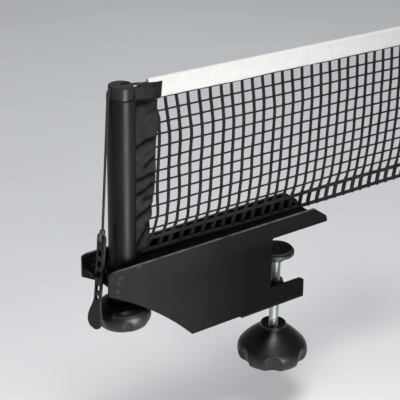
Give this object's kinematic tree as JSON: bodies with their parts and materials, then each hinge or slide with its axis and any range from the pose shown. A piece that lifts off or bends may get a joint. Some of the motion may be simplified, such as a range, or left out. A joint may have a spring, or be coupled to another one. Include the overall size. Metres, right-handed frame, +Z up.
{
  "type": "table tennis net clamp",
  "caption": "Screw clamp bracket for a table tennis table, with a slotted post that holds the end of the net, a height knob and a notched strap that keeps the net cord tight.",
  "frame": {"origin": "the table's side edge at its top surface, in the plane of the net, where the bracket's throat meets the table", "axes": "+X over the table along the net, +Y away from the side the net is looked at, +Z up"},
  "size_m": [0.3427, 0.0612, 0.2838],
  "materials": {
    "coated_steel": "satin black powder coat with a fine orange-peel texture",
    "zinc_steel": "bright zinc plate on turned and rolled threads",
    "dark_steel": "blackened steel",
    "black_plastic": "moulded black plastic, fine sparked texture with soft gloss",
    "nylon": "black nylon, satin",
    "rubber_pad": "matte black rubber",
    "cord": "tight braided polyester cord",
    "binding": "black woven binding with a soft sheen",
    "netting": "knotted dark net twine",
    "tape": "white woven tape, matte",
    "rod": "drawn glass-fibre rod"
  },
  "bodies": {
    "bracket": {"side_plate_front": "coated_steel", "side_plate_back": "coated_steel", "top_web": "coated_steel", "arm_web": "coated_steel", "weld_nut": "coated_steel", "jaw_pad": "rubber_pad", "strap_hook": "dark_steel", "hook_rivets": "dark_steel", "post_tube": "coated_steel", "post_socket": "coated_steel", "base_plug": "nylon", "guide_bush": "nylon", "thrust_washer": "zinc_steel", "tension_cord": "cord", "net_end_rod": "rod", "net_hem": "binding", "net_end_band": "binding", "net_mesh": "netting", "net_top_tape": "tape", "net_bottom_cord": "netting", "net_far_hem": "binding"},
    "clamp_foot": {"foot_cup": "dark_steel", "foot_rubber": "rubber_pad", "foot_retainer": "zinc_steel"},
    "clamp_spindle": {"clamp_screw": "zinc_steel", "clamp_knob": "black_plastic", "knob_nut": "zinc_steel"},
    "height_spindle": {"height_screw": "zinc_steel", "height_knob": "black_plastic", "height_knob_nut": "zinc_steel", "screw_circlip": "dark_steel"},
    "plunger": {"plunger_tube": "dark_steel", "plunger_nut": "zinc_steel", "plunger_guide": "nylon", "post_cap": "black_plastic"},
    "strap": {"tension_strap": "black_plastic", "cord_eye": "cord", "cord_crimp": "dark_steel"}
  },
  "joints": [
    {"name": "clamp_slide", "type": "slide", "parent": "bracket", "child": "clamp_foot", "axis": [0, 0, 1], "range_m": [-0.01875, 0.02125]},
    {"name": "clamp_turn", "type": "hinge", "parent": "clamp_foot", "child": "clamp_spindle", "pos_m": [0.0213, 0, -0.022], "axis": [0, 0, 1], "range_deg": [-5400, 6120]},
    {"name": "height_turn", "type": "hinge", "parent": "bracket", "child": "height_spindle", "pos_m": [-0.1334, 0, -0.022], "axis": [0, 0, 1], "range_deg": [-2880, 2160]},
    {"name": "plunger_slide", "type": "slide", "parent": "bracket", "child": "plunger", "axis": [0, 0, 1], "range_m": [-0.006, 0.008], "deforming": ["tension_cord"]},
    {"name": "strap_swing", "type": "hinge", "parent": "bracket", "child": "strap", "pos_m": [-0.155, -0.0055, 0.038], "axis": [0, 1, 0], "range_deg": [0, 40]}
  ],
  "couplings": [
    {"joint": "clamp_slide", "follows": "clamp_turn", "m_per_rad": 0.00019894},
    {"joint": "plunger_slide", "follows": "height_turn", "m_per_rad": -0.00015915}
  ]
}
